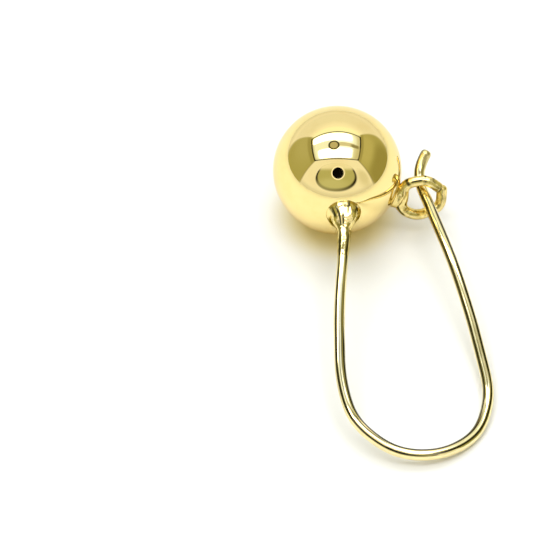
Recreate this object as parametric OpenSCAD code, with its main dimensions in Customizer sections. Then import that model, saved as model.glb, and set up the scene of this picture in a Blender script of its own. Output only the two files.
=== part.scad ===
// Ball earring on a fixed, springy ear wire, lying on a flat surface.
// The hollow ball, the bead of solder, the bent ear wire and the split catch ring are
// soldered together, so they are one solid. The free end of the wire runs through the
// catch ring and touches nothing: it is held only by its own spring.
// Millimetres, +Z up. The origin is on the surface, under the middle of the whole.

/* [Ball] */
// Outside diameter of the hollow ball, which the bends of both wires follow
ball_d = 10; // [9:0.5:12]
// Thickness of the ball's shell
ball_wall = 0.35; // [0.25:0.05:0.6]

/* [Ear wire] */
// Diameter of the ear wire
wire_d = 0.85; // [0.8:0.01:0.9]
// Radius of the bead of solder that the wire stands in
bead_r = 1.35; // [1.25:0.01:1.4]

/* [Catch] */
// Diameter of the catch ring's wire
ring_d = 0.82; // [0.74:0.02:0.86]
// Radius of the pad of solder that holds the ring, where it meets the ball
pad_r = 1.1; // [0.9:0.05:1.2]

/* [Hidden] */
$fn = 96;
ball_r = ball_d / 2;
// The tables below are for a ball of this diameter, and grow with it
table_ball_d = 10;
size = ball_d / table_ball_d;
// Height of the wire's middle under the ball's middle where the wire rests
table_drop = 4.568;
lie = (ball_r - wire_d / 2) / table_drop;
ball_at = [-3.27 * size, 9.87 * size, ball_r];

// Bends of the ear wire, from inside the ball to the tip.
// Columns: x, y, z of the corner from the ball's middle, and the bend's radius.
wire_bends = [
    [0.35, -3.60, 0.84, 0],
    [0.50, -6.14, 0.48, 24],
    [-0.04, -13.28, -1.02, 50],
    [0.01, -18.70, -2.19, 13.5],
    [0.89, -22.17, -2.91, 4.4],
    [3.96, -24.36, -3.88, 4.7],
    [7.51, -24.25, -4.28, 5.1],
    [10.29, -22.06, -4.62, 4.4],
    [11.31, -18.49, -4.42, 5.8],
    [10.13, -12.97, -2.90, 55],
    [8.84, -8.29, -1.56, 20],
    [6.12, 0.81, -1.18, 2.5],
    [6.98, 1.90, -0.14, 0]
];

// Bends of the catch ring, from its end over the ear wire, round by the ball, to its
// other end, which lies behind the first. The columns are the same.
ring_bends = [
    [7.81, -1.24, -0.62, 0],
    [6.94, -0.94, -0.06, 1.3],
    [5.24, -0.96, -0.50, 1.0],
    [4.78, -1.80, -2.50, 1.0],
    [6.28, -2.07, -3.05, 1.6],
    [8.09, -1.34, -2.78, 0.9],
    [8.17, -0.56, -1.62, 0]
];

// Middle of the bead of solder, and the way in which the catch's pad faces
bead_at = [0.395, -4.572, 0.442] * size;
pad_way = [0.925, -0.25, -0.32];
// The bead rises to the wire in a cone, which starts just inside the bead's surface
neck_from = 0.63 * bead_r;
neck_r = 0.755 * bead_r;
neck_top_r = wire_d / 2 + 0.02;
neck_h = (neck_r - neck_top_r) / 0.9;
// The pad narrows towards the ring
pad_h = 0.85;
pad_top_r = 0.75;

// A straight leg of wire is a hair thinner than the bends, and runs this far into them
leg_less = 0.02;
leg_into = 0.12;

function unit(v) = v / norm(v);
function last(t) = len(t) - 1;
function bend_r(t, i) = t[i][3] * size;
function corner(t, i) = [t[i][0] * size, t[i][1] * size, t[i][2] * lie];
function leg(t, i) = norm(corner(t, i + 1) - corner(t, i));
function way(t, i) = unit(corner(t, i + 1) - corner(t, i));
// Angle that the wire turns through at a corner
function turn(t, i) = acos(way(t, i - 1) * way(t, i));
// Length that the bend takes from each leg beside it
function cut(t, i) = (i == 0 || i == last(t)) ? 0 : bend_r(t, i) * tan(turn(t, i) / 2);
// How far a leg runs into the bend at a corner
function into(t, i) = (i == 0 || i == last(t)) ? 0 : leg_into;

// Places children at a point, with their Z axis along z and their X axis towards x
module facing(at, z, x) {
    up = unit(z);
    right = unit(x - (x * up) * up);
    back = cross(up, right);
    multmatrix([
        [right[0], back[0], up[0], at[0]],
        [right[1], back[1], up[1], at[1]],
        [right[2], back[2], up[2], at[2]],
        [0, 0, 0, 1]
    ]) children();
}

// Straight leg i of a wire
module wire_leg(t, d, i) {
    from = cut(t, i) - into(t, i);
    to = leg(t, i) - cut(t, i + 1) + into(t, i + 1);
    facing(corner(t, i) + from * way(t, i), way(t, i), [0.1, 0.2, 1])
        cylinder(d = d - leg_less, h = to - from);
}

// Bend at corner i of a wire, a piece of torus
module wire_bend(t, d, i) {
    inward = unit(way(t, i) - way(t, i - 1));
    middle = corner(t, i) + inward * bend_r(t, i) / cos(turn(t, i) / 2);
    start = corner(t, i) - cut(t, i) * way(t, i - 1);
    facing(middle, cross(way(t, i - 1), way(t, i)), start - middle)
        rotate_extrude(angle = turn(t, i))
            translate([bend_r(t, i), 0])
                circle(d = d);
}

// Rounded end of a wire
module wire_end(t, d, i) {
    translate(corner(t, i))
        sphere(d = d);
}

// Whole wire: legs and bends along a table
module bent_wire(t, d) {
    for (i = [0 : last(t) - 1])
        wire_leg(t, d, i);
    for (i = [1 : last(t) - 1])
        wire_bend(t, d, i);
}

module ear_wire() {
    bent_wire(wire_bends, wire_d);
    wire_end(wire_bends, wire_d, last(wire_bends));
}

module catch_ring() {
    bent_wire(ring_bends, ring_d);
    wire_end(ring_bends, ring_d, 0);
    wire_end(ring_bends, ring_d, last(ring_bends));
}

module solder_bead() {
    translate(bead_at)
        sphere(r = bead_r);
    neck_way = unit(corner(wire_bends, 1) - bead_at);
    facing(bead_at + neck_from * neck_way, neck_way, [1, 0, 0])
        cylinder(r1 = neck_r, r2 = neck_top_r, h = neck_h);
}

module solder_pad() {
    facing((ball_r - 0.3) * unit(pad_way), pad_way, [0, 0, 1])
        cylinder(r1 = pad_r, r2 = pad_top_r, h = pad_h);
}

module ball_ear_wire() {
    color([0.93, 0.74, 0.36])
        translate(ball_at)
            difference() {
                union() {
                    sphere(d = ball_d);
                    solder_bead();
                    ear_wire();
                    catch_ring();
                    solder_pad();
                }
                sphere(d = ball_d - 2 * ball_wall);
            }
}

ball_ear_wire();
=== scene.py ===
"""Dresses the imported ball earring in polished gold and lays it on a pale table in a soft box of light."""

import logging
import math
from collections.abc import Mapping, Sequence
from dataclasses import dataclass, replace
from enum import Enum
from typing import NamedTuple

import bpy
import numpy as np
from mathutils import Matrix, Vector


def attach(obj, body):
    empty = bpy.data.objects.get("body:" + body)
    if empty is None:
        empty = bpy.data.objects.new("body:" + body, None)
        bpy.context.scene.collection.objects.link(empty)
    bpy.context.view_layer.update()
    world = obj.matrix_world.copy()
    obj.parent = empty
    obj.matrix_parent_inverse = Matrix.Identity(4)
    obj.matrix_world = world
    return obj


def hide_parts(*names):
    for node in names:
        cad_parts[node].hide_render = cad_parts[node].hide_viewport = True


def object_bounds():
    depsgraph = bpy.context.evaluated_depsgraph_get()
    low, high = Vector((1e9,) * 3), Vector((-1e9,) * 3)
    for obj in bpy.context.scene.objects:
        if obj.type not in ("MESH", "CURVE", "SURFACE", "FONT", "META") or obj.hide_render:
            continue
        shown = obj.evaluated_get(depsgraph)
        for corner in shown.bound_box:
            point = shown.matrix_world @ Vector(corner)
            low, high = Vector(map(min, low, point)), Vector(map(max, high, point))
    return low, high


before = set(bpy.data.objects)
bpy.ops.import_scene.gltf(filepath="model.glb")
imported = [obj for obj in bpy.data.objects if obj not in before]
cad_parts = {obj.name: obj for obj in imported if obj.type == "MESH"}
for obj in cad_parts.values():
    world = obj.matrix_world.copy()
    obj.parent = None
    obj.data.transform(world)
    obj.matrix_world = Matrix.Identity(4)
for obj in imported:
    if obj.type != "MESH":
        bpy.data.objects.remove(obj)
CAD_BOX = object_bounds()

log = logging.getLogger("earring")
MM = 0.001
NODE = "ball_ear_wire"
BODY = "root"
GRAIN_NAME = "grain"
Colour = tuple[float, float, float]
Point = tuple[float, float, float]
Span = tuple[float, float]

RIGHT = np.array([1.0, 0.0, 0.0])
UP = np.array([0.0, 0.0, 1.0])
# The way that the first column of a turned piece faces. No piece is turned about it.
SEAM_WAY = np.array([0.3, 0.1, 1.0])
# How many points the arc of one bend of wire has
BEND_POINTS = 25
# The middle of the bead of solder, in millimetres from the ball's middle
BEAD_AT = (0.395, -4.572, 0.442)


def unit(v: np.ndarray | Sequence[float]) -> np.ndarray:
    """The same directions with length 1, along the last axis."""
    v = np.asarray(v, float)
    return v / np.linalg.norm(v, axis=-1, keepdims=True)


def square_to(v: np.ndarray, along: np.ndarray) -> np.ndarray:
    """The part of v that is square to the directions along, made unit length."""
    return unit(v - (v * along).sum(-1, keepdims=True) * along)


def full_turn(count: int) -> np.ndarray:
    """So many angles evenly round a circle, in radians."""
    return np.arange(count) * 2 * math.pi / count


def spokes(ahead: np.ndarray, reference: np.ndarray, columns: int) -> np.ndarray:
    """Directions all round each point of a line, square to it.

    The first is the reference direction less its part along the line, and crossed is the line's
    direction crossed with that. The others are first * cosine + crossed * sine of their angle.

    Args:
        ahead: the line's unit direction at each point, of shape (n, 3).
        reference: a direction that the line never runs along.
        columns: how many directions there are at each point.

    Returns:
        Unit directions of shape (n, columns, 3).
    """
    first = square_to(np.broadcast_to(reference, ahead.shape), ahead)
    crossed = np.cross(ahead, first)
    turn = full_turn(columns)[:, None]
    return first[:, None] * np.cos(turn) + crossed[:, None] * np.sin(turn)


def lengths(line: np.ndarray) -> np.ndarray:
    """How far along a line each of its points lies."""
    return np.r_[0, np.cumsum(np.linalg.norm(np.diff(line, axis=0), axis=1))]


def eased(amount: np.ndarray, low: float, high: float) -> np.ndarray:
    """0 below low, 1 above high and smooth between: 3 shares squared less 2 cubed."""
    share = np.clip((amount - low) / (high - low), 0, 1)
    return share * share * (3 - 2 * share)


class Bend(NamedTuple):
    """A corner of a bent wire, in millimetres from the ball's middle, and the radius it is bent to."""

    x: float
    y: float
    z: float
    radius: float


# From inside the ball, round the loop, to the turned-up tip
EAR_WIRE_BENDS = (
    Bend(0.35, -3.60, 0.84, 0),
    Bend(0.50, -6.14, 0.48, 24),
    Bend(-0.04, -13.28, -1.02, 50),
    Bend(0.01, -18.70, -2.19, 13.5),
    Bend(0.89, -22.17, -2.91, 4.4),
    Bend(3.96, -24.36, -3.88, 4.7),
    Bend(7.51, -24.25, -4.28, 5.1),
    Bend(10.29, -22.06, -4.62, 4.4),
    Bend(11.31, -18.49, -4.42, 5.8),
    Bend(10.13, -12.97, -2.90, 55),
    Bend(8.84, -8.29, -1.56, 20),
    Bend(6.12, 0.81, -1.18, 2.5),
    Bend(6.98, 1.90, -0.14, 0),
)

# From the ring's end over the ear wire, round by the ball, to its other end behind the first
CATCH_RING_BENDS = (
    Bend(7.81, -1.24, -0.62, 0),
    Bend(6.94, -0.94, -0.06, 1.3),
    Bend(5.24, -0.96, -0.50, 1.0),
    Bend(4.78, -1.80, -2.50, 1.0),
    Bend(6.28, -2.07, -3.05, 1.6),
    Bend(8.09, -1.34, -2.78, 0.9),
    Bend(8.17, -0.56, -1.62, 0),
)


def smoothed(line: np.ndarray, spread: float) -> np.ndarray:
    """Averages a line with a bell curve along it, out to 3 spreads.

    Its ends are carried on straight, so they stay put.

    Args:
        line: points of shape (n, 3), evenly spaced.
        spread: the bell curve's standard deviation, counted in points.

    Returns:
        Points of shape (n, 3).
    """
    reach = math.ceil(3 * spread)
    weights = np.exp(-0.5 * (np.arange(-reach, reach + 1) / spread) ** 2)
    ahead = np.arange(1, reach + 1)[:, None]
    padded = np.vstack([
        line[0] - (line[1] - line[0]) * ahead[::-1],
        line,
        line[-1] + (line[-1] - line[-2]) * ahead,
    ])
    return np.stack([np.convolve(padded[:, k], weights / weights.sum(), "valid") for k in range(3)], axis=1)


def centreline(bends: Sequence[Bend], step: float, soften: float) -> np.ndarray:
    """The middle line of a bent wire: straight legs with a round bend at each corner, then softened.

    Each corner is cut by an arc of its radius that touches both legs: the arc's middle lies on the
    corner's bisector, at radius / cos(half the turn). The line is resampled evenly and averaged, as
    springy wire never goes sharply from straight to round. Averaging pulls the bends in, so what a
    second averaging would take off is added back.

    Args:
        bends: the corners, in millimetres.
        step: the spacing of the points, in millimetres.
        soften: the spread of the averaging, in millimetres.

    Returns:
        Points of shape (n, 3), in millimetres.
    """
    corners = np.array([bend[:3] for bend in bends], float)
    points = [corners[:1]]
    for before, at, after, radius in zip(corners, corners[1:], corners[2:], [b.radius for b in bends[1:]]):
        into, out = unit(at - before), unit(after - at)
        turn = math.acos(float(into @ out))
        middle = at + unit(out - into) * radius / math.cos(turn / 2)
        first = at - into * radius * math.tan(turn / 2) - middle
        angle = np.linspace(0, turn, BEND_POINTS)[:, None]
        points.append(middle + first * np.cos(angle) + into * radius * np.sin(angle))
    line = np.vstack([*points, corners[-1:]])
    length = lengths(line)
    even = np.linspace(0, length[-1], round(length[-1] / step) + 1)
    line = np.stack([np.interp(even, length, line[:, k]) for k in range(3)], axis=1)
    once = smoothed(line, soften / step)
    return once * 2 - smoothed(once, soften / step)


class Faces(NamedTuple):
    """Faces that all have the same number of corners.

    Fields:
        corners: their corners' vertex numbers, of shape (faces, corners).
        uv: the place of each corner on the map, of shape (faces, corners, 2).
    """

    corners: np.ndarray
    uv: np.ndarray


@dataclass(frozen=True)
class Skin:
    """A skin over rings of points: rows of a grid, each row a ring, with an optional pole at each end.

    The map's u is the length along the skin and its v the share of the way round.

    Fields:
        rings: points of shape (rows, columns, 3), in millimetres; the columns close on themselves.
        along: for each row, how far along the surface it lies, in millimetres.
        start: the pole before the first ring, or None for an open edge.
        end: the pole after the last ring, or None for an open edge.
    """

    rings: np.ndarray
    along: np.ndarray
    start: np.ndarray | None = None
    end: np.ndarray | None = None

    def poles(self) -> list[tuple[np.ndarray, int]]:
        """The poles that it has, each with the number of its row."""
        return [(pole, row) for pole, row in ((self.start, 0), (self.end, -1)) if pole is not None]

    def quads(self) -> Faces:
        """The faces between neighbouring rings.

        Vertex (row, column) has the number row * columns + column. A quad joins it to the next
        column, which for the last one is the first, and both to the next row.

        Returns:
            The quads, row after row.
        """
        rows, columns = self.rings.shape[:2]
        row, column = np.meshgrid(np.arange(rows - 1), np.arange(columns), indexing="ij")
        here, beside = row * columns + column, row * columns + (column + 1) % columns
        corners = np.stack([here, beside, beside + columns, here + columns], -1).reshape(-1, 4)
        near, far = self.along[row], self.along[row + 1]
        left, right = column / columns, (column + 1) / columns
        uv = np.stack([near, left, near, right, far, right, far, left], -1).reshape(-1, 4, 2)
        return Faces(corners, uv)

    def fan(self, row: int, pole: int) -> Faces:
        """The triangles between a ring and its pole, wound so that they face as the quads do.

        Args:
            row: the ring's row, 0 or -1.
            pole: the pole's vertex number.

        Returns:
            The triangles.
        """
        rows, columns = self.rings.shape[:2]
        ring = np.arange(columns)
        order = [1, 0] if row == 0 else [0, 1]
        pair = np.stack([ring, (ring + 1) % columns], -1)[:, order]
        share = np.stack([ring, ring + 1], -1)[:, order] / columns
        corners = np.column_stack([row % rows * columns + pair, np.full(columns, pole)])
        around = np.column_stack([share, share.mean(-1)])
        return Faces(corners, np.stack([np.full_like(around, self.along[row]), around], -1))

    def build(self, name: str, place: np.ndarray) -> bpy.types.Object:
        """Makes the mesh: quads between neighbouring rings and triangles to the poles.

        Args:
            name: the piece's name.
            place: where the grid's origin stands in the part, in millimetres.

        Returns:
            The object, at the origin, with its place in its mesh.
        """
        points = [self.rings.reshape(-1, 3)]
        faces = [self.quads()]
        for pole, row in self.poles():
            faces.append(self.fan(row, sum(map(len, points))))
            points.append(pole[None])
        corners = np.concatenate([group.corners.ravel() for group in faces])
        sides = np.concatenate([np.full(len(group.corners), group.corners.shape[1]) for group in faces])
        uv = np.vstack([group.uv.reshape(-1, 2) for group in faces])
        made = mesh_object(name, (np.vstack(points) + place) * MM, corners, sides, uv)
        self.store_grain(made)
        return made

    def store_grain(self, made: bpy.types.Object) -> None:
        """Stores the grain: for each point the cosine and sine of its way round, and how far along it is.

        Unlike the map it has no seam, so lines drawn along a wire close on themselves. At a pole the
        first two numbers are 0.

        Args:
            made: the object, whose vertices are the rings' points and then the poles.
        """
        rows, columns = self.rings.shape[:2]
        turn = full_turn(columns)
        row, column = np.meshgrid(np.arange(rows), np.arange(columns), indexing="ij")
        grain = np.stack([np.cos(turn)[column], np.sin(turn)[column], self.along[row]], -1).reshape(-1, 3)
        grain = np.vstack([grain, *([0, 0, self.along[row]] for _, row in self.poles())])
        stored = made.data.attributes.new(GRAIN_NAME, "FLOAT_VECTOR", "POINT")
        stored.data.foreach_set("vector", grain.astype(np.float32).ravel())


def mesh_object(name: str, points: np.ndarray, corners: np.ndarray, sides: np.ndarray,
                uv: np.ndarray | None = None) -> bpy.types.Object:
    """A smooth mesh object from whole arrays.

    Args:
        name: the object's name.
        points: vertices of shape (n, 3), in metres.
        corners: the vertex number of each face's corners, face after face.
        sides: how many corners each face has.
        uv: one (u, v) for each corner, if the finish follows the surface.

    Returns:
        The object, linked into the scene.
    """
    mesh = bpy.data.meshes.new(name)
    mesh.vertices.add(len(points))
    mesh.vertices.foreach_set("co", points.astype(np.float32).ravel())
    mesh.loops.add(len(corners))
    mesh.loops.foreach_set("vertex_index", corners.astype(np.int32))
    mesh.polygons.add(len(sides))
    mesh.polygons.foreach_set("loop_start", np.r_[0, np.cumsum(sides)[:-1]].astype(np.int32))
    mesh.update(calc_edges=True)
    mesh.shade_smooth()
    if uv is not None:
        mesh.uv_layers.new(name="surface").data.foreach_set("uv", uv.astype(np.float32).ravel())
    mesh.validate()
    made = bpy.data.objects.new(name, mesh)
    bpy.context.scene.collection.objects.link(made)
    return made


def swept(line: np.ndarray, radius: np.ndarray, reference: np.ndarray, columns: int) -> np.ndarray:
    """Rings of a round profile carried along a line, each square to it.

    Args:
        line: points of shape (n, 3).
        radius: the profile's radius at each point.
        reference: a direction that the line never runs along, where the rings begin.
        columns: how many points go round the profile.

    Returns:
        Rings of shape (n, columns, 3).
    """
    ahead = unit(np.gradient(line, axis=0))
    return line[:, None] + spokes(ahead, reference, columns) * radius[:, None, None]


def turned(profile: np.ndarray, axis: np.ndarray, columns: int) -> np.ndarray:
    """Rings of a profile turned about an axis through the origin.

    Args:
        profile: points of shape (n, 2): the distance from the axis and the height along it.
        axis: the axis's direction.
        columns: how many points go round.

    Returns:
        Rings of shape (n, columns, 3).
    """
    up = unit(axis)
    spoke = spokes(up[None], SEAM_WAY, columns)
    return profile[:, 0, None, None] * spoke + profile[:, 1, None, None] * up


def arc(middle: Span, radius: float, start: float, stop: float, count: int) -> np.ndarray:
    """Points on an arc of a profile, from one angle to another, in radians from the outward direction."""
    angle = np.linspace(start, stop, count)
    return np.stack([middle[0] + radius * np.cos(angle), middle[1] + radius * np.sin(angle)], axis=1)


class Noise(NamedTuple):
    """Smooth noise from 0 to 1.

    Fields:
        lumps: how many lumps it has to a metre, or to a line or a length of a grain.
        detail: how many finer sizes of lump are added.
        roughness: how strong those are.
    """

    lumps: float
    detail: float = 2.0
    roughness: float = 0.5


class Grain(NamedTuple):
    """Lines along a piece: how many lie round it, and about how long each is, in millimetres."""

    lines: float
    length: float


class Value:
    """A number that changes over a surface. Arithmetic on it adds Math nodes to its material."""

    def __init__(self, shader: "Shader", socket: bpy.types.NodeSocket) -> None:
        """Wraps an output socket of a node of that shader."""
        self.shader = shader
        self.socket = socket

    def _with(self, operation: str, *operands: "Value | float") -> "Value":
        """The result of one Math node on these operands."""
        return self.shader.value("Math", {"operation": operation}, dict(enumerate(operands)))

    def __add__(self, other: "Value | float") -> "Value":
        """Sum."""
        return self._with("ADD", self, other)

    def __radd__(self, other: float) -> "Value":
        """Sum, with the number first."""
        return self._with("ADD", other, self)

    def __sub__(self, other: "Value | float") -> "Value":
        """Difference."""
        return self._with("SUBTRACT", self, other)

    def __rsub__(self, other: float) -> "Value":
        """Difference, with the number first."""
        return self._with("SUBTRACT", other, self)

    def __mul__(self, other: "Value | float") -> "Value":
        """Product."""
        return self._with("MULTIPLY", self, other)

    def __truediv__(self, other: "Value | float") -> "Value":
        """Quotient."""
        return self._with("DIVIDE", self, other)

    def __pow__(self, other: "Value | float") -> "Value":
        """Power."""
        return self._with("POWER", self, other)

    def __abs__(self) -> "Value":
        """Size without the sign."""
        return self._with("ABSOLUTE", self)


class Shader:
    """The nodes of a material or a world, made by plain calls."""

    def __init__(self, owner: bpy.types.Material | bpy.types.World) -> None:
        """Clears the owner's nodes to start afresh.

        Args:
            owner: the material or the world.
        """
        owner.use_nodes = True
        self.owner = owner
        self.tree = owner.node_tree
        self.tree.nodes.clear()

    @classmethod
    def named(cls, name: str) -> "Shader":
        """Starts an empty material of that name."""
        return cls(bpy.data.materials.new(name))

    def node(self, kind: str, settings: Mapping[str, object] | None = None,
             inputs: Mapping[str | int, object] | None = None) -> bpy.types.Node:
        """Adds a node.

        Args:
            kind: the node's type, without the words ShaderNode.
            settings: the node's own settings, set before its sockets.
            inputs: for a socket's name or number, a number, a colour, a vector, a Value or a socket.

        Returns:
            The node.
        """
        made = self.tree.nodes.new("ShaderNode" + kind)
        for name, setting in (settings or {}).items():
            setattr(made, name, setting)
        for name, given in (inputs or {}).items():
            if isinstance(given, Value):
                self.tree.links.new(given.socket, made.inputs[name])
            elif isinstance(given, bpy.types.NodeSocket):
                self.tree.links.new(given, made.inputs[name])
            else:
                made.inputs[name].default_value = given
        return made

    def value(self, kind: str, settings: Mapping[str, object] | None = None,
              inputs: Mapping[str | int, object] | None = None, output: str | int = 0) -> Value:
        """Adds a node and wraps one of its outputs."""
        return Value(self, self.node(kind, settings, inputs).outputs[output])

    def object_place(self) -> bpy.types.NodeSocket:
        """Where a point lies on the object, in metres."""
        return self.node("TexCoord").outputs["Object"]

    def way_along(self) -> bpy.types.NodeSocket:
        """The grain that a skin stores: the cosine and sine of the way round, and millimetres along."""
        stored = self.node("Attribute", {"attribute_type": "GEOMETRY", "attribute_name": GRAIN_NAME})
        return stored.outputs["Vector"]

    def grain(self, grain: Grain) -> bpy.types.NodeSocket:
        """The place on which noise draws lines along a piece.

        Args:
            grain: how many lines lie round the piece, and how long they are.

        Returns:
            The stored grain, scaled so that a line is about one unit wide and long.
        """
        across = grain.lines / (2 * math.pi)
        mapped = self.node("Mapping", None, {
            "Vector": self.way_along(),
            "Scale": (across, across, 1 / grain.length),
        })
        return mapped.outputs["Vector"]

    def axes(self, place: bpy.types.NodeSocket) -> tuple[Value, Value, Value]:
        """The three numbers of a place."""
        parts = self.node("SeparateXYZ", None, {0: place})
        return Value(self, parts.outputs[0]), Value(self, parts.outputs[1]), Value(self, parts.outputs[2])

    def distance(self, place: bpy.types.NodeSocket, point: Point) -> Value:
        """How far a place is from a point, in metres."""
        return self.value("VectorMath", {"operation": "DISTANCE"}, {0: place, 1: point}, "Value")

    def noise(self, place: bpy.types.NodeSocket, noise: Noise) -> Value:
        """Smooth noise over a place."""
        inputs = {"Vector": place, "Scale": noise.lumps, "Detail": noise.detail, "Roughness": noise.roughness}
        return self.value("TexNoise", {"noise_dimensions": "3D"}, inputs)

    def ramp(self, amount: Value, low: float, high: float) -> Value:
        """0 below low, 1 above high and smooth between."""
        settings = {"interpolation_type": "SMOOTHSTEP"}
        return self.value("MapRange", settings, {"Value": amount, "From Min": low, "From Max": high})

    @staticmethod
    def opaque(colour: "Colour | bpy.types.NodeSocket") -> "tuple | bpy.types.NodeSocket":
        """A colour as a socket takes it, with alpha 1; a socket stays as it is."""
        return (*colour, 1) if isinstance(colour, tuple) else colour

    def blend(self, amount: Value, first: "Colour | bpy.types.NodeSocket",
              second: "Colour | bpy.types.NodeSocket") -> bpy.types.NodeSocket:
        """The first colour where amount is 0 and the second where it is 1."""
        inputs = {0: amount, 6: self.opaque(first), 7: self.opaque(second)}
        return self.node("Mix", {"data_type": "RGBA"}, inputs).outputs[2]

    def finish(self, surface: bpy.types.NodeSocket) -> bpy.types.Material:
        """Joins the surface to the material's output and gives the material."""
        self.node("OutputMaterial", None, {"Surface": surface})
        return self.owner


# The share of a painted dark line's width in which it is full, how far it then goes towards its colour, and
# that colour
PAINTED_LINE_FULL_SHARE = 0.6
PAINTED_LINE_STRENGTH = 0.92
PAINTED_LINE_COLOUR = (0.05, 0.043, 0.015)


class PaintedDarkLine(NamedTuple):
    """A line of painted dark reflection along a piece, which on the catch ring is painted shade as well.

    Fields:
        turn: its angle round the piece from the first column, in degrees: on the ear wire and the bead
            from the top towards the loop's outer side, on the catch ring from the far face inwards.
        start, stop: where along the piece it begins and ends, in millimetres.
        width: half its width, in degrees.
        fade: how long its ends are, in millimetres.
        depth: how dark it is.
    """

    turn: float
    start: float
    stop: float
    width: float = 20.0
    fade: float = 2.5
    depth: float = 1.0

    def shade(self, shader: Shader, cosine: Value, sine: Value, along: Value) -> Value:
        """How dark the line makes each point.

        Across it, its strength follows the cosine of the angle from its middle, which is
        cosine * cos(turn) + sine * sin(turn).

        Args:
            shader: the material's nodes.
            cosine, sine: of the point's way round the piece.
            along: how far along the piece the point is, in millimetres.

        Returns:
            0 beside the line, up to its depth in its middle.
        """
        middle, width = math.radians(self.turn), math.radians(self.width)
        near = cosine * math.cos(middle) + sine * math.sin(middle)
        across = shader.ramp(near, math.cos(width), math.cos(width * PAINTED_LINE_FULL_SHARE))
        begun = shader.ramp(along, self.start, self.start + self.fade) * self.depth
        return across * begun * (1 - shader.ramp(along, self.stop, self.stop + self.fade))


# Painted dark reflections along the ear wire, the bead and the catch ring; on the ring they paint shade too
WIRE_PAINTED_LINES = (
    PaintedDarkLine(51, -9.0, 2.5), PaintedDarkLine(40, 3.0, 16.5, 16.0), PaintedDarkLine(-19, 4.2, 13.5, 36.0, 2.5, 0.5),
    PaintedDarkLine(-51, 9.0, 60.0), PaintedDarkLine(-46, -9.0, 3.4),
    PaintedDarkLine(-38, 13.5, 19.5, 17.0), PaintedDarkLine(-23, 18.0, 28.5, 15.0), PaintedDarkLine(-3, 15.0, 19.5, 7.0, 2.0),
    PaintedDarkLine(44, 16.5, 22.0, 13.0), PaintedDarkLine(33, 22.5, 31.0, 13.0), PaintedDarkLine(33, 31.5, 47.0, 20.0),
)
BEAD_PAINTED_LINES = (
    PaintedDarkLine(41, 0.9, 60.0, 18.0), PaintedDarkLine(-39, 1.1, 3.6, 18.0),
    PaintedDarkLine(50, 0.25, 0.9, 9.0, 0.3), PaintedDarkLine(27, 0.25, 1.5, 7.0, 0.3),
    PaintedDarkLine(7, 0.75, 1.75, 8.0, 0.3), PaintedDarkLine(-16, 0.1, 0.8, 6.0, 0.3), PaintedDarkLine(-52, 0.1, 0.6, 9.0, 0.3),
    PaintedDarkLine(100, 0.2, 2.6, 14.0, 0.4, 0.7), PaintedDarkLine(-100, 0.2, 2.6, 14.0, 0.4, 0.7),
)
RING_PAINTED_LINES = (
    PaintedDarkLine(-150, 1.6, 2.4, 15.0, 0.2), PaintedDarkLine(-80, 1.4, 1.52, 50.0, 0.12),
    PaintedDarkLine(-92, 0.88, 1.02, 24.0, 0.12), PaintedDarkLine(-66, 0.35, 0.9, 16.0, 0.2),
    PaintedDarkLine(160, 0.03, 0.2, 70.0, 0.1), PaintedDarkLine(-130, 2.6, 2.8, 60.0, 0.12),
    PaintedDarkLine(-148, 4.5, 5.4, 15.0, 0.3),
)

# The fine die lines all round drawn wire: their grain, noise, levels and strength, and the millimetres
# of the wire's length over which they begin
FINE_GRAIN = Grain(26.0, 14.0)
FINE_NOISE = Noise(1.0, 2.0, 0.4)
FINE_LEVELS = (0.56, 0.66)
FINE_STRENGTH = 0.5
FINE_BEGIN = (2.0, 5.0)

# The levels of the noise at which a stain begins and is full, and the noise and levels of the haze
STAIN_LEVELS = (0.46, 0.74)
HAZE_NOISE = Noise(900.0, 5.0, 0.65)
HAZE_LEVELS = (0.45, 0.8)

# Where a wire is rubbed dull: over how many millimetres it begins, its stain and its added roughness
DULL_BEGIN = 0.8
DULL_STAIN = 0.9
DULL_ROUGHNESS = 0.22


class Ripple(NamedTuple):
    """Lumps under the polish.

    Fields:
        noise: their pattern.
        height: their height, as a share of the finish's mark_height.
        grain: the grain that they lie along, if they are lines.
    """

    noise: Noise
    height: float = 1.0
    grain: Grain | None = None


def puckers(lumps: float) -> tuple[Ripple, ...]:
    """The puckers of cooled solder, so many to a metre, with finer ones of a quarter of their size."""
    return Ripple(Noise(lumps)), Ripple(Noise(lumps * 4), 0.12)


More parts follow.
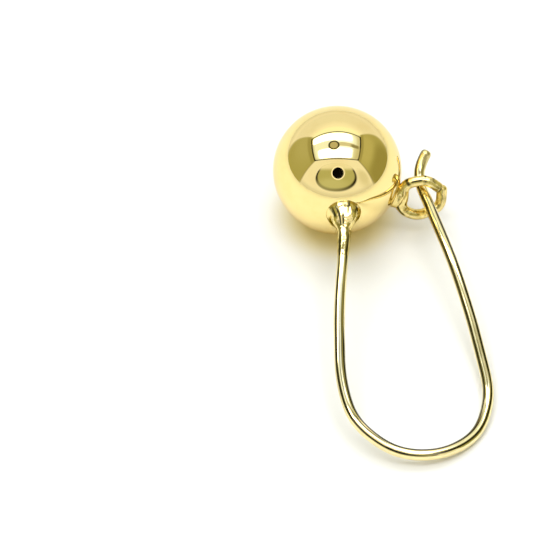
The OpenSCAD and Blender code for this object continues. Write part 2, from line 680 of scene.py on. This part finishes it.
@dataclass(frozen=True)
class Gold:
    """Gold plate over brass, polished bright.

    Fields:
        name: the material's name.
        ripples: the marks that working the metal left under the polish.
        plate: the plate's colour, as linear light.
        deep: its colour where the plate is thick or faintly stained.
        edge: what its colour is multiplied by where it is seen along the surface.
        stained: how far the stains go towards the deep colour.
        stains: the pattern of the stains.
        gloss: the roughness of the clean polish.
        haze: what wiping, handling or scale adds to that.
        mark_height: the height of the marks under the polish, in millimetres.
        lines: the painted dark lines along it: dark reflections, and on the catch ring shade too.
        drawn: whether it is drawn wire, with fine die lines all round.
        dull_from: for a wire, how far along it the polish begins to be rubbed dull, in millimetres.
    """

    name: str
    ripples: tuple[Ripple, ...]
    plate: Colour = (0.97, 0.785, 0.34)
    deep: Colour = (0.90, 0.66, 0.23)
    edge: Colour = (1.0, 1.0, 1.0)
    stained: float = 0.35
    stains: Noise = Noise(420.0, 4.0, 0.6)
    gloss: float = 0.025
    haze: float = 0.05
    mark_height: float = 0.0008
    lines: tuple[PaintedDarkLine, ...] = ()
    drawn: bool = False
    dull_from: float | None = None

    def painted_and_die_lines(self, shader: Shader) -> Value:
        """How far the finish's painted dark lines and fine die lines darken each point.

        Args:
            shader: the material's nodes.

        Returns:
            0 beside the lines, up to PAINTED_LINE_STRENGTH in the middle of one.
        """
        cosine, sine, along = shader.axes(shader.way_along())
        dark = sum(line.shade(shader, cosine, sine, along) for line in self.lines)
        if self.drawn:
            fine = shader.ramp(shader.noise(shader.grain(FINE_GRAIN), FINE_NOISE), *FINE_LEVELS)
            dark = dark + fine * FINE_STRENGTH * shader.ramp(along, *FINE_BEGIN)
        return dark * PAINTED_LINE_STRENGTH

    def marks(self, shader: Shader, place: bpy.types.NodeSocket) -> Value:
        """The height of the marks: the sum of the ripples, each times its own height.

        Args:
            shader: the material's nodes.
            place: where a point lies on the object.

        Returns:
            The height, as a share of mark_height.
        """
        return sum(
            shader.noise(shader.grain(ripple.grain) if ripple.grain else place, ripple.noise) * ripple.height
            for ripple in self.ripples
        )

    def material(self) -> bpy.types.Material:
        """Builds the material.

        Returns:
            The plate, stained towards its deep colour and darkened along its painted dark lines and die
            lines, with a rough haze.
        """
        shader = Shader.named(self.name)
        place = shader.object_place()
        stain = shader.ramp(shader.noise(place, self.stains), *STAIN_LEVELS) * self.stained
        roughness = self.gloss + shader.ramp(shader.noise(place, HAZE_NOISE), *HAZE_LEVELS) * self.haze
        bump = shader.node("Bump", None, {
            "Strength": 1.0,
            "Distance": self.mark_height * MM,
            "Height": self.marks(shader, place),
        })
        if self.dull_from is not None:
            _, _, along = shader.axes(shader.way_along())
            dull = shader.ramp(along, self.dull_from, self.dull_from + DULL_BEGIN)
            stain = stain + dull * DULL_STAIN
            roughness = roughness + dull * DULL_ROUGHNESS
        colour = shader.blend(stain, self.plate, self.deep)
        # Painted dark reflections and shade, with the real die lines, darken the colour
        if self.lines:
            colour = shader.blend(self.painted_and_die_lines(shader), colour, PAINTED_LINE_COLOUR)
        surface = shader.node("BsdfPrincipled", None, {
            "Base Color": colour,
            "Specular Tint": shader.opaque(self.edge),
            "Metallic": 1.0,
            "Roughness": roughness,
            "Normal": bump.outputs["Normal"],
        })
        return shader.finish(surface.outputs["BSDF"])


BUFFED_GOLD = Gold("buffed_gold", (Ripple(Noise(260.0, 1.0)),), edge=(0.87, 0.84, 0.80), mark_height=0.0015)
DRAWN_GOLD = Gold(
    "drawn_gold", (Ripple(Noise(1.0, 3.0, 0.45), 0.8, Grain(20.0, 7.0)), Ripple(Noise(700.0, 1.0), 0.6)),
    plate=(0.97, 0.83, 0.44), deep=(0.66, 0.55, 0.24), gloss=0.03, mark_height=0.014,
    lines=WIRE_PAINTED_LINES, drawn=True, dull_from=51.6,
)
BEAD_GOLD = Gold(
    "bead_gold", puckers(1100.0), deep=(0.22, 0.18, 0.05), edge=(0.30, 0.25, 0.10), stained=0.9,
    stains=Noise(1500.0, 4.0, 0.6), gloss=0.03, mark_height=0.085, lines=BEAD_PAINTED_LINES,
)
SOLDERED_GOLD = Gold(
    "soldered_gold", puckers(800.0), plate=(0.88, 0.72, 0.30), deep=(0.30, 0.22, 0.05),
    edge=(0.45, 0.34, 0.14), stained=0.9, stains=Noise(1900.0, 4.0, 0.6), gloss=0.07, haze=0.16,
    mark_height=0.08,
)
RING_GOLD = replace(SOLDERED_GOLD, name="ring_gold", lines=RING_PAINTED_LINES)


def dress(piece: bpy.types.Object, finish: Gold) -> None:
    """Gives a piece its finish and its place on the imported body.

    Args:
        piece: the finished mesh object.
        finish: the gold that covers it.
    """
    piece.data.materials.append(finish.material())
    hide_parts(NODE)
    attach(piece, BODY)
    log.info("%s: %d faces, %s", piece.name, len(piece.data.polygons), finish.name)


@dataclass
class Ball:
    """The hollow ball, a true sphere.

    Fields:
        radius: the ball's radius, in millimetres.
        pole: the way its mesh's pole faces, which the bead of solder hides.
        columns: how many points go round it.
        rows: how many rings lie between its poles.
    """

    radius: float = 5.0
    pole: Point = BEAD_AT
    columns: int = 320
    rows: int = 220

    def middle(self) -> np.ndarray:
        """The ball's middle in the part, in millimetres. It touches the box's left, far and top sides."""
        low, high = (np.array(corner) / MM for corner in CAD_BOX)
        return np.array([low[0] + self.radius, high[1] - self.radius, high[2] - self.radius])

    def shell(self) -> Skin:
        """The sphere: rings at even angles from one pole to the other.

        Returns:
            The skin, its columns running backwards so that its faces point outwards.
        """
        angle = np.linspace(0, math.pi, self.rows + 2)[1:-1]
        profile = self.radius * np.stack([np.sin(angle), np.cos(angle)], axis=1)
        axis = unit(self.pole)
        rings = turned(profile, axis, self.columns)[:, ::-1]
        return Skin(rings, self.radius * angle, axis * self.radius, -axis * self.radius)

    def build(self) -> None:
        """Makes and dresses the ball."""
        dress(self.shell().build("hollow_ball", self.middle()), BUFFED_GOLD)


@dataclass
class EarWire:
    """The long springy wire, from inside the bead to its turned-up tip.

    Fields, in millimetres where nothing else is said:
        ball: the ball that it stands on.
        radius: the wire's radius.
        step: the spacing of its rings.
        soften: how gently its bends begin and end.
        start_clear: how far from the ball's surface its first ring is, inside the bead.
        blunt: the shape of its tip. 2 is a half ball, and more is blunter.
        tip_from: how far before the line's end the round of the tip begins, in radii.
        tip_rings: how many steps the round of the tip has.
        columns: how many points go round it.
    """

    ball: Ball
    radius: float = 0.425
    step: float = 0.1
    soften: float = 0.8
    start_clear: float = 0.2
    blunt: float = 2.6
    tip_from: float = 0.4
    tip_rings: int = 14
    columns: int = 48

    def line(self) -> np.ndarray:
        """The wire's middle line outside the ball."""
        line = centreline(EAR_WIRE_BENDS, self.step, self.soften)
        return line[np.linalg.norm(line, axis=1) > self.ball.radius + self.start_clear]

    def skin(self) -> Skin:
        """The wire with its far end closed by a blunt round.

        The end's radius falls as (1 - share ^ blunt) ^ (1 / blunt), where share goes from 0 to 1
        over the last radius of length.

        Returns:
            The skin, whose first column faces up.
        """
        line = self.line()
        share = np.sin(np.linspace(0, math.pi / 2, self.tip_rings))[1:-1]
        ahead = unit(line[-1] - line[-2])
        line = line[lengths(line) < lengths(line)[-1] - self.radius * self.tip_from]
        tip = line[-1] + ahead * self.radius
        cap = line[-1] + ahead * (share[:, None] * self.radius)
        cap_radii = self.radius * (1 - share ** self.blunt) ** (1 / self.blunt)
        radii = np.r_[np.full(len(line), self.radius), cap_radii]
        line = np.vstack([line, cap])
        return Skin(swept(line, radii, UP, self.columns), lengths(line), line[0], tip)

    def build(self) -> None:
        """Makes and dresses the wire."""
        dress(self.skin().build("ear_wire", self.ball.middle()), DRAWN_GOLD)


class Wave(NamedTuple):
    """A slow wave round the drop of solder.

    Fields:
        crests: how many crests it has.
        start: its angle at the ball, in radians.
        twist: how far it turns for each millimetre that it climbs, in radians.
        height: its share of the drop's lumps.
    """

    crests: int
    start: float
    twist: float
    height: float


BEAD_WAVES = (Wave(2, 0.6, 2.4, 1.0), Wave(3, -1.1, -3.0, 0.7), Wave(5, 2.0, 4.0, 0.4))


@dataclass
class Bead:
    """The drop of solder that the ear wire stands in: round on the ball, then a cone that climbs the wire.

    Fields, in millimetres where nothing else is said:
        ball, wire: what it joins.
        at: the middle of the round part, from the ball's middle.
        radius: the radius of the round part.
        lean: how much narrower the cone gets for each millimetre of its length.
        fillet: the radius of the hollow where the foot runs out on the ball.
        meet: how softly the cone runs out on the wire.
        film: how thick the solder is on the wire beyond the cone.
        film_ends: how far from the ball's middle the film thins and ends.
        tuck: how far the foot's edge lies under the ball's surface.
        film_tuck: how far the film's end lies under the wire's surface.
        lumps: how uneven the cooled solder is, as a share of its radius.
        lumps_begin, lumps_end: how far from the ball's middle it becomes uneven, and even again.
        joins: how far from the ball's middle its axis leaves the round part's and is the wire's.
        aim: the points of the wire's line from and to which its way at the bead is taken.
        points: how many points of the profile the fillet, the round part and the climb have.
        columns: how many points go round it.
    """

    ball: Ball
    wire: EarWire
    at: Point = BEAD_AT
    radius: float = 1.35
    lean: float = 0.6
    fillet: float = 0.04
    meet: float = 0.06
    film: float = 0.085
    film_ends: Span = (7.0, 9.0)
    tuck: float = 0.01
    film_tuck: float = 0.004
    lumps: float = 0.06
    lumps_begin: Span = (4.85, 5.3)
    lumps_end: Span = (6.3, 7.1)
    joins: Span = (5.2, 6.2)
    aim: tuple[int, int] = (2, 12)
    points: tuple[int, int, int] = (10, 40, 90)
    columns: int = 160

    def profile(self) -> np.ndarray:
        """The radius and the distance from the ball's middle, from the foot's edge to the film's end.

        The foot is a hollow fillet that touches the ball and the round part: its middle is a corner
        of a triangle with the two balls' middles, with sides ball + fillet and round + fillet. The
        round part ends where its slope is the cone's. The cone and the film meet in a soft maximum,
        film + meet * log(1 + exp((cone - film) / meet)). The film sinks into the wire by film_tuck
        times the ninth power of the share of its reach.

        Returns:
            Points of shape (n, 2).
        """
        in_fillet, in_belly, in_climb = self.points
        apart = float(np.linalg.norm(self.at))
        from_ball, from_round = self.ball.radius + self.fillet, self.radius + self.fillet
        height = (apart ** 2 + from_ball ** 2 - from_round ** 2) / (2 * apart)
        out = math.sqrt(from_ball ** 2 - height ** 2)
        full = 2 * math.pi if height < apart else 0
        hollow = arc((out, height), self.fillet, math.atan2(-height, -out),
                     math.atan2(apart - height, -out) - full, in_fillet)
        slope = math.atan(self.lean)
        belly = arc((0, apart), self.radius, math.atan2(height - apart, out), slope, in_belly)
        reach = np.linspace(belly[-1, 1], self.film_ends[1], in_climb)[1:]
        cone = belly[-1, 0] - self.lean * (reach - belly[-1, 1])
        film = self.wire.radius + self.film * (1 - eased(reach, *self.film_ends))
        film = film - self.film_tuck * (reach / reach[-1]) ** 9
        climb = film + self.meet * np.log1p(np.exp((cone - film) / self.meet))
        foot = hollow[:1] * (1 - self.tuck / self.ball.radius)
        return np.vstack([foot, hollow, belly[1:], np.stack([climb, reach], axis=1)])

    def skin(self) -> Skin:
        """Rings of the profile, from the axis through the drop's middle to the wire's own line.

        Each ring's radius is uneven by a sum of slow waves round the axis, which turn as they climb
        and fade towards the foot and the wire. Of the wire's line only the stretch that leads away
        from the ball counts, to 1 mm past the film.

        Returns:
            The skin, open at its foot and at the film's end.
        """
        profile = self.profile()
        radius, reach = profile[:, 0], profile[:, 1]
        line = self.wire.line()
        away = np.linalg.norm(line, axis=1)
        near = slice(0, round((self.film_ends[1] + 1 - away[0]) / self.wire.step))
        on_wire = np.stack([np.interp(reach, away[near], line[near, k]) for k in range(3)], axis=1)
        axis, wire_way = unit(self.at), unit(line[self.aim[1]] - line[self.aim[0]])
        share = eased(reach, *self.joins)[:, None]
        spine = axis * reach[:, None] * (1 - share) + on_wire * share
        spoke = spokes(unit(axis * (1 - share) + wire_way * share), UP, self.columns)
        turn, climb = full_turn(self.columns), reach[:, None] - self.ball.radius
        waves = sum(w.height * np.cos(w.crests * turn + w.start + w.twist * climb) for w in BEAD_WAVES)
        window = eased(reach, *self.lumps_begin) * (1 - eased(reach, *self.lumps_end))
        uneven = radius[:, None] * (1 + self.lumps * waves * window[:, None])
        return Skin(spine[:, None] + spoke * uneven[..., None], lengths(profile))

    def build(self) -> None:
        """Makes and dresses the drop."""
        dress(self.skin().build("solder_bead", self.ball.middle()), BEAD_GOLD)


@dataclass
class Catch:
    """The split catch ring and the pad of solder that holds it on the ball.

    Fields, in millimetres where nothing else is said:
        ball: the ball that it is on.
        radius: the radius of the ring's wire.
        step: the spacing of its rings of points.
        soften: how gently its bends begin and end.
        tip_reach: how far its rounded ends stand out, in radii.
        tip_rings: how many steps the round of an end has.
        columns: how many points go round the wire.
        swell, swell_length: how much solder thickens the ring beside the pad, and how far.
        pad_way: the way in which the pad faces, from the ball's middle.
        pad_foot, pad_waist: the pad's radius at the ball and under its dome.
        pad_rise: how far the waist stands from the ball's surface.
        pad_top: how far the pad's top stands from the ball's middle.
        pad_tuck: how far the foot's edge lies under the ball's surface.
        seat: how far under the pad's top the ring is thickest.
        pad_rings, pad_columns: how many points the hollow or the dome has, and how many go round.
    """

    ball: Ball
    radius: float = 0.41
    step: float = 0.06
    soften: float = 0.25
    tip_reach: float = 0.85
    tip_rings: int = 12
    columns: int = 40
    swell: float = 0.16
    swell_length: float = 0.7
    pad_way: Point = (0.925, -0.25, -0.32)
    pad_foot: float = 1.35
    pad_waist: float = 0.92
    pad_rise: float = 0.22
    pad_top: float = 5.72
    pad_tuck: float = 0.02
    seat: float = 0.3
    pad_rings: int = 24
    pad_columns: int = 96

    def pad(self) -> Skin:
        """The pad: a hollow curve from the ball to the waist, then a low dome.

        The hollow's radius falls from the foot's to the waist's as 1 - sine, and its height rises as
        1 - cosine, of a quarter turn; the dome is a half ellipse.

        Returns:
            The skin, open at its foot.
        """
        way = unit(self.pad_way)
        start = math.sqrt(self.ball.radius ** 2 - self.pad_foot ** 2) - self.pad_tuck
        waist = self.ball.radius + self.pad_rise
        quarter = np.linspace(0, 1, self.pad_rings) * math.pi / 2
        hollow = np.stack([
            self.pad_waist + (self.pad_foot - self.pad_waist) * (1 - np.sin(quarter)),
            start + (waist - start) * (1 - np.cos(quarter)),
        ], axis=1)
        lift = np.linspace(0, math.pi / 2, self.pad_rings)[1:-1]
        dome = np.stack([
            self.pad_waist * np.cos(lift),
            waist + (self.pad_top - waist) * np.sin(lift),
        ], axis=1)
        profile = np.vstack([hollow, dome])
        return Skin(turned(profile, way, self.pad_columns), lengths(profile), None, way * self.pad_top)

    def ring(self) -> Skin:
        """The ring's wire, thickened by solder beside the pad and rounded at both ends.

        It is thicker by swell * exp(-(away / swell_length) ^ 2), where away is the distance from the
        seat on the pad.

        Returns:
            The skin, whose first column faces square to the ring.
        """
        line = centreline(CATCH_RING_BENDS, self.step, self.soften)
        early, half, late = (line[len(line) * sixths // 6] for sixths in (2, 3, 4))
        square = unit(np.cross(early - half, late - half))
        seat = unit(self.pad_way) * (self.pad_top - self.seat)
        away = np.linalg.norm(line - seat, axis=1)
        radii = self.radius + self.swell * np.exp(-(away / self.swell_length) ** 2)
        share = np.sin(np.linspace(0, math.pi / 2, self.tip_rings))[1:-1]
        narrower = np.sqrt(1 - share ** 2)
        reach = self.radius * self.tip_reach
        out = (share * reach)[:, None]
        before, after = unit(line[0] - line[1]), unit(line[-1] - line[-2])
        first, last = line[0] + before * reach, line[-1] + after * reach
        line = np.vstack([(line[0] + before * out)[::-1], line, line[-1] + after * out])
        radii = np.r_[(radii[0] * narrower)[::-1], radii, radii[-1] * narrower]
        return Skin(swept(line, radii, square, self.columns), lengths(line), first, last)

    def build(self) -> None:
        """Makes and dresses both pieces."""
        dress(self.ring().build("catch_ring", self.ball.middle()), RING_GOLD)
        dress(self.pad().build("catch_solder", self.ball.middle()), SOLDERED_GOLD)


class Wall(Enum):
    """The sides of the box of light that carry cards.

    Each names the axes that a card's u and v run along, and then the axis that it is square to.
    """

    CEILING = (0, 1, 2)
    SIDE = (1, 2, 0)
    FRONT = (0, 2, 1)


# Where the edge of an outline's line begins and ends, in half widths of the line
OUTLINE_EDGE = (0.5, 1.5)


@dataclass(frozen=True)
class Patch:
    """A soft-edged shape of one brightness on a card, in shares of the box's height.

    A point lies at the distance (|u| ^ power + |v| ^ power) ^ (1 / power) from the middle, with u and
    v counted in the half sizes: 1 is the edge. A power of 2 is an ellipse, and a large one a box.

    Fields:
        colour: its light, where 1 is white.
        box: the lowest and highest u, then v.
        power: how boxy it is.
        soft: how wide its edge is blurred, in half sizes.
        ring: for an outline alone, how wide that is, in half sizes.
        amount: how much of what lies under it is covered.
    """

    colour: Colour
    box: tuple[float, float, float, float]
    power: float = 12.0
    soft: float = 0.03
    ring: float = 0.0
    amount: float = 1.0

    def mask(self, shader: Shader, u: Value, v: Value) -> Value:
        """How much the patch covers each point.

        Args:
            shader: the material's nodes.
            u, v: the point's place on the card.

        Returns:
            Its amount inside the shape, or on its outline, and 0 elsewhere.
        """
        u0, u1, v0, v1 = self.box
        across = abs((u - (u0 + u1) / 2) / ((u1 - u0) / 2))
        up = abs((v - (v0 + v1) / 2) / ((v1 - v0) / 2))
        out = (across ** self.power + up ** self.power) ** (1 / self.power)
        if self.ring:
            beyond = shader.ramp(abs(out - 1.0) / (self.ring / 2), *OUTLINE_EDGE)
        else:
            beyond = shader.ramp(out, 1 - self.soft, 1 + self.soft)
        return (1 - beyond) * self.amount


@dataclass(frozen=True)
class Card:
    """A flat card of light on one side of the box. Outside its first patch it is clear.

    Fields:
        name: the card's name.
        wall: the side that it lies on.
        at: where that side stands, in shares of the box's height from the ball.
        patches: its shapes, from the one underneath to the one on top.
        trim: a second outline that the card is cut to, if it has one.
    """

    name: str
    wall: Wall
    at: float
    patches: tuple[Patch, ...]
    trim: Patch | None = None

    def corners(self) -> np.ndarray:
        """The card's corners on the axes of its side, with room for its blurred edge.

        Returns:
            Four rows of u and v.
        """
        u0, u1, v0, v1 = self.patches[0].box
        spare = self.patches[0].soft + self.patches[0].ring
        wide, high = (u1 - u0) / 2 * spare, (v1 - v0) / 2 * spare
        return np.array([[u0 - wide, v0 - high], [u1 + wide, v0 - high],
                         [u1 + wide, v1 + high], [u0 - wide, v1 + high]])

    def outline(self) -> np.ndarray:
        """The same corners in space, in shares of the box's height from the ball.

        Returns:
            Points of shape (4, 3).
        """
        flat = self.corners()
        first, second, square = self.wall.value
        points = np.empty((len(flat), 3))
        points[:, first], points[:, second], points[:, square] = flat[:, 0], flat[:, 1], self.at
        return points

    def material(self) -> bpy.types.Material:
        """Builds the material.

        Returns:
            Each patch's light laid over the last, clear outside the first and outside the trim.
        """
        shader = Shader.named(self.name)
        u, v, _ = shader.axes(shader.node("TexCoord").outputs["UV"])
        base, *others = self.patches
        light = base.colour
        for patch in others:
            light = shader.blend(patch.mask(shader, u, v), light, patch.colour)
        glow = shader.node("Emission", None, {"Color": shader.opaque(light)})
        clear = shader.node("BsdfTransparent")
        covered = base.mask(shader, u, v)
        if self.trim:
            covered = covered * self.trim.mask(shader, u, v)
        seen = shader.node("MixShader", None, {0: covered, 1: clear.outputs[0], 2: glow.outputs[0]})
        return shader.finish(seen.outputs[0])


WHITE_TUBE = (5.2, 5.2, 5.2)
DARK_FRAME = (0.04, 0.035, 0.015)
CLOTH = (0.44, 0.43, 0.195)
DARK_SEAM = (0.02, 0.015, 0.003)
WALL_TRIM = Patch(CLOTH, (-1.6, 0.74, -0.07, 2.2), 4.5, 0.05)

CARDS = (
    # Over a dark frame: the pale sheet in it, its shades and glow, two tubes with a dimmer gap, a round hole
    Card("lamp", Wall.CEILING, 1.0, (
        Patch(DARK_FRAME, (-1.0, 0.88, -0.41, 0.605), 22, 0.02),
        Patch((0.72, 0.74, 0.66), (-0.87, 0.735, -0.375, 0.565), 22, 0.02),
        Patch((1.0, 1.12, 1.3), (-0.81, 0.60, -0.36, 0.55), 10, 0.10),
        Patch((0.62, 0.60, 0.40), (0.50, 0.76, -0.37, 0.10), 5, 0.35, amount=0.6),
        Patch((1.6, 1.8, 2.4), (-0.20, 0.45, -0.10, 0.45), 6, 0.20),
        Patch(WHITE_TUBE, (-0.83, 0.43, 0.25, 0.525), 8, 0.08),
        Patch(WHITE_TUBE, (-0.66, 0.45, -0.35, -0.03), 8, 0.08),
        Patch((0.62, 0.60, 0.45), (0.00, 0.50, 0.03, 0.18), 6, 0.35, amount=0.9),
        Patch((0.26, 0.24, 0.12), (0.40, 0.70, 0.03, 0.15), 4, 0.4, amount=0.9),
        Patch((0.55, 0.52, 0.36), (-0.26, 0.04, -0.08, 0.21), 2, 0.1),
        Patch((0.06, 0.06, 0.03), (-0.25, 0.03, -0.07, 0.20), 2, 0.1, ring=0.36),
    )),
    Card("back_glow", Wall.CEILING, 1.02, (
        Patch((1.10, 1.20, 1.10), (-0.85, 0.85, 0.50, 0.92), 2.4, 0.45, amount=0.85),
    )),
    # Each side cloth is lighter in the middle and darker towards its hems
    Card("left_cloth", Wall.SIDE, -0.95, (
        Patch(CLOTH, (-0.43, 0.76, -0.06, 1.3), 9, 0.07),
        Patch((0.50, 0.49, 0.27), (-0.2, 0.9, 0.25, 1.2), 2, 0.6, amount=0.8),
        Patch((0.30, 0.28, 0.10), (-0.43, 0.72, 0.80, 1.10), 8, 0.4, amount=0.6),
        Patch((0.22, 0.20, 0.07), (-0.45, -0.39, -0.1, 1.3), 8, 0.5, amount=0.5),
    ), WALL_TRIM),
    Card("right_cloth", Wall.SIDE, 0.80, (
        Patch((0.44, 0.43, 0.19), (-0.43, 0.76, -0.06, 1.3), 9, 0.07),
        Patch((0.57, 0.55, 0.28), (-0.40, 0.65, 0.45, 1.1), 3, 0.5, amount=0.7),
        Patch((0.32, 0.30, 0.11), (-0.44, 0.45, -0.3, 0.40), 3, 0.35, amount=0.9),
        Patch((0.28, 0.26, 0.10), (-0.43, 0.72, 0.86, 1.10), 8, 0.4, amount=0.6),
        Patch((0.20, 0.18, 0.06), (-0.45, -0.39, -0.1, 1.3), 8, 0.5, amount=0.6),
    ), WALL_TRIM),
    # The dark seam of the round opening, the cloth in it, a paler stretch and the white above
    Card("opening", Wall.FRONT, -1.0, (
        Patch(DARK_SEAM, (-1.02, 0.84, 0.185, 1.75), 2.4, 0.05),
        Patch((0.50, 0.51, 0.27), (-0.92, 0.74, 0.29, 1.72), 2.4, 0.05),
        Patch((0.62, 0.64, 0.42), (-0.75, 0.30, 0.2, 0.65), 2, 0.6, amount=0.7),
        Patch((0.93, 0.93, 0.88), (-2.0, 2.0, 1.2, 3.0), 8, 0.2),
    )),
    Card("right_flap", Wall.FRONT, -0.99, (
        Patch((0.70, 0.68, 0.55), (0.86, 1.6, 0.15, 1.1), 2, 0.6, amount=0.7),
    )),
)


@dataclass(frozen=True)
class Table:
    """The table, a pale matt sheet far larger than the view.

    Its colour carries painted shade away from the light, and round the ball a painted warm glow of the light
    that the gold throws down.

    Fields, in metres:
        half_width: half the sheet's width.
        pale, shaded, warm: its colours under the light, away from it and under the ball.
        shaded_from: how far from the part's middle the painted shade begins, and is whole.
        warm_to: how far from the point under the ball the painted warm light begins to fade, and is gone.
    """

    half_width: float = 1.5
    pale: Colour = (0.88, 0.88, 0.88)
    shaded: Colour = (0.80, 0.80, 0.79)
    warm: Colour = (0.88, 0.79, 0.46)
    shaded_from: Span = (0.02, 0.12)
    warm_to: Span = (0.0025, 0.0057)

    def material(self, foot: Point) -> bpy.types.Material:
        """Builds the paper.

        Args:
            foot: the point under the ball, in metres.

        Returns:
            The material.
        """
        shader = Shader.named("pale_table")
        place = shader.object_place()
        # Painted shade away from the light, and painted warm light from the gold round the ball's foot
        shaded = shader.ramp(shader.distance(place, (0.0, 0.0, 0.0)), *self.shaded_from)
        warm = 1 - shader.ramp(shader.distance(place, foot), *self.warm_to)
        paper = shader.node("BsdfPrincipled", None, {
            "Base Color": shader.blend(warm, shader.blend(shaded, self.pale, self.shaded), self.warm),
            "Roughness": 0.8,
            "Specular IOR Level": 0.2,
        })
        return shader.finish(paper.outputs["BSDF"])

    def build(self, foot: Point) -> None:
        """Lays the sheet. Its foot is the point under the ball, in metres."""
        signs = np.array([[-1, -1, 0], [1, -1, 0], [1, 1, 0], [-1, 1, 0]])
        made = mesh_object("table", signs * self.half_width, np.arange(len(signs)), np.array([len(signs)]))
        made.data.materials.append(self.material(foot))


@dataclass(frozen=True)
class Surround:
    """The white cloth all round, as the scene's world.

    Behind the ball it dims above the table and brightens to the lamp. Heights are the sine of the
    angle above the table, and depths the share of the way that runs from the camera to the back.

    Fields:
        front, back: its light before the ball and behind it.
        turns_back: the depths at which it begins to be the back, and is.
        low_dims, low: how much the back dims above the table, and over which heights.
        high_gains, high: how much it brightens to the lamp, and over which heights.
        foot_dims, foot: how much the whole dims at the table, and over which heights that ends.
    """

    front: float = 0.97
    back: float = 1.04
    turns_back: Span = (-0.3, 0.4)
    low_dims: float = 0.14
    low: Span = (0.0, 0.25)
    high_gains: float = 0.13
    high: Span = (0.5, 0.72)
    foot_dims: float = 0.2
    foot: Span = (0.0, 0.16)

    def build(self) -> None:
        """Makes the world and gives it to the scene."""
        world = bpy.data.worlds.new("white_cloth")
        shader = Shader(world)
        _, depth, height = shader.axes(shader.node("TexCoord").outputs["Generated"])
        back = (self.back - shader.ramp(height, *self.low) * self.low_dims
                + shader.ramp(height, *self.high) * self.high_gains)
        light = self.front + (back - self.front) * shader.ramp(depth, *self.turns_back)
        light = light - (1 - shader.ramp(height, *self.foot)) * self.foot_dims
        sky = shader.node("Background", None, {"Color": light})
        shader.node("OutputWorld", None, {"Surface": sky.outputs[0]})
        bpy.context.scene.world = world


@dataclass(frozen=True)
class Camera:
    """The camera, a long lens well above the table.

    Fields, in millimetres where nothing else is said:
        aim: the point on the table at the middle of the picture.
        distance: how far the camera stands from it.
        elevation: the camera's angle above the table, in degrees.
        lens: the focal length.
        sensor: the sensor's width.
        clip: the nearest and the farthest that it sees, in metres.
    """

    aim: Point = (-8.32, 3.74, 0.0)
    distance: float = 240.4
    elevation: float = 50.5
    lens: float = 205.2
    sensor: float = 36.0
    clip: Span = (0.01, 10.0)

    def location(self) -> Point:
        """Where the camera stands, in metres.

        Returns:
            Its x, y and z: from the aim, back by the cosine and up by the sine of its elevation.
        """
        angle = math.radians(self.elevation)
        back, up = self.distance * math.cos(angle), self.distance * math.sin(angle)
        x, y, z = self.aim
        return x * MM, (y - back) * MM, (z + up) * MM

    def build(self) -> None:
        """Makes the scene's camera."""
        data = bpy.data.cameras.new("camera")
        data.lens = self.lens
        data.sensor_width = self.sensor
        data.clip_start, data.clip_end = self.clip
        made = bpy.data.objects.new("camera", data)
        made.location = self.location()
        looking = Vector(self.aim) * MM - made.location
        made.rotation_euler = looking.to_track_quat("-Z", "Y").to_euler()
        bpy.context.scene.collection.objects.link(made)
        bpy.context.scene.camera = made


@dataclass
class Studio:
    """A pale table in a box of soft light, with the camera at its front opening.

    Fields:
        ball: the ball, which the box stands round.
        height: the box's ceiling above the ball, in metres.
        lens_way: the way from the ball to the lens in the opening.
        lens_spread: the angle of the lens's round from its middle to its edge, in degrees.
        rim_spread: the same for the pale rim round it.
        rim_at: how far off the rim hangs, where the lens hangs at 1.
        rim_light, glass_light: the light of the rim and of the lens, where 1 is white.
        lens_corners: how many corners those rounds have.
    """

    ball: Ball
    height: float = 0.30
    lens_way: Point = (0.006, -0.728, 0.686)
    lens_spread: float = 10.0
    rim_spread: float = 12.2
    rim_at: float = 1.01
    rim_light: float = 1.15
    glass_light: float = 0.003
    lens_corners: int = 64

    def hang(self, name: str, points: np.ndarray, material: bpy.types.Material,
             uv: np.ndarray | None = None) -> None:
        """Hangs a flat card that lights the scene and shows in the polish, but not to the camera.

        Args:
            name: the card's name.
            points: its outline, as shares of the box's height from the ball's middle.
            material: its light.
            uv: the map of its corners, if it has patches.
        """
        placed = points * self.height + self.ball.middle() * MM
        made = mesh_object(name, placed, np.arange(len(points)), np.array([len(points)]), uv)
        made.data.materials.append(material)
        made.visible_camera = False

    def hang_round(self, name: str, spread: float, away: float, light: float) -> None:
        """Hangs a round of even light, square to the way from the ball to the lens.

        Args:
            name: the round's name.
            spread: its angle from its middle to its edge, in degrees.
            away: how far off it hangs, in shares of the box's height.
            light: its light, where 1 is white.
        """
        way = unit(self.lens_way)
        disc = spokes(-way[None], RIGHT, self.lens_corners)[0]
        shader = Shader.named(name)
        glow = shader.node("Emission", None, {"Color": shader.opaque((light, light, light))})
        points = way * away + disc * math.tan(math.radians(spread))
        self.hang(name, points, shader.finish(glow.outputs[0]))

    def build(self) -> None:
        """Makes the table, the light and the camera."""
        x, y, _ = self.ball.middle() * MM
        Table().build((x, y, 0.0))
        Surround().build()
        for card in CARDS:
            self.hang(card.name, card.outline(), card.material(), card.corners())
        self.hang_round("lens_rim", self.rim_spread, self.rim_at, self.rim_light)
        self.hang_round("lens_glass", self.lens_spread, 1.0, self.glass_light)
        Camera().build()
        view = bpy.context.scene.view_settings
        view.view_transform = "Standard"
        view.look = "None"


def main() -> None:
    """Builds the earring and its studio."""
    logging.basicConfig(level=logging.INFO, format="%(name)s: %(message)s")
    ball = Ball()
    wire = EarWire(ball)
    for part in (ball, Bead(ball, wire), wire, Catch(ball), Studio(ball)):
        part.build()


if __name__ == "__main__":
    main()
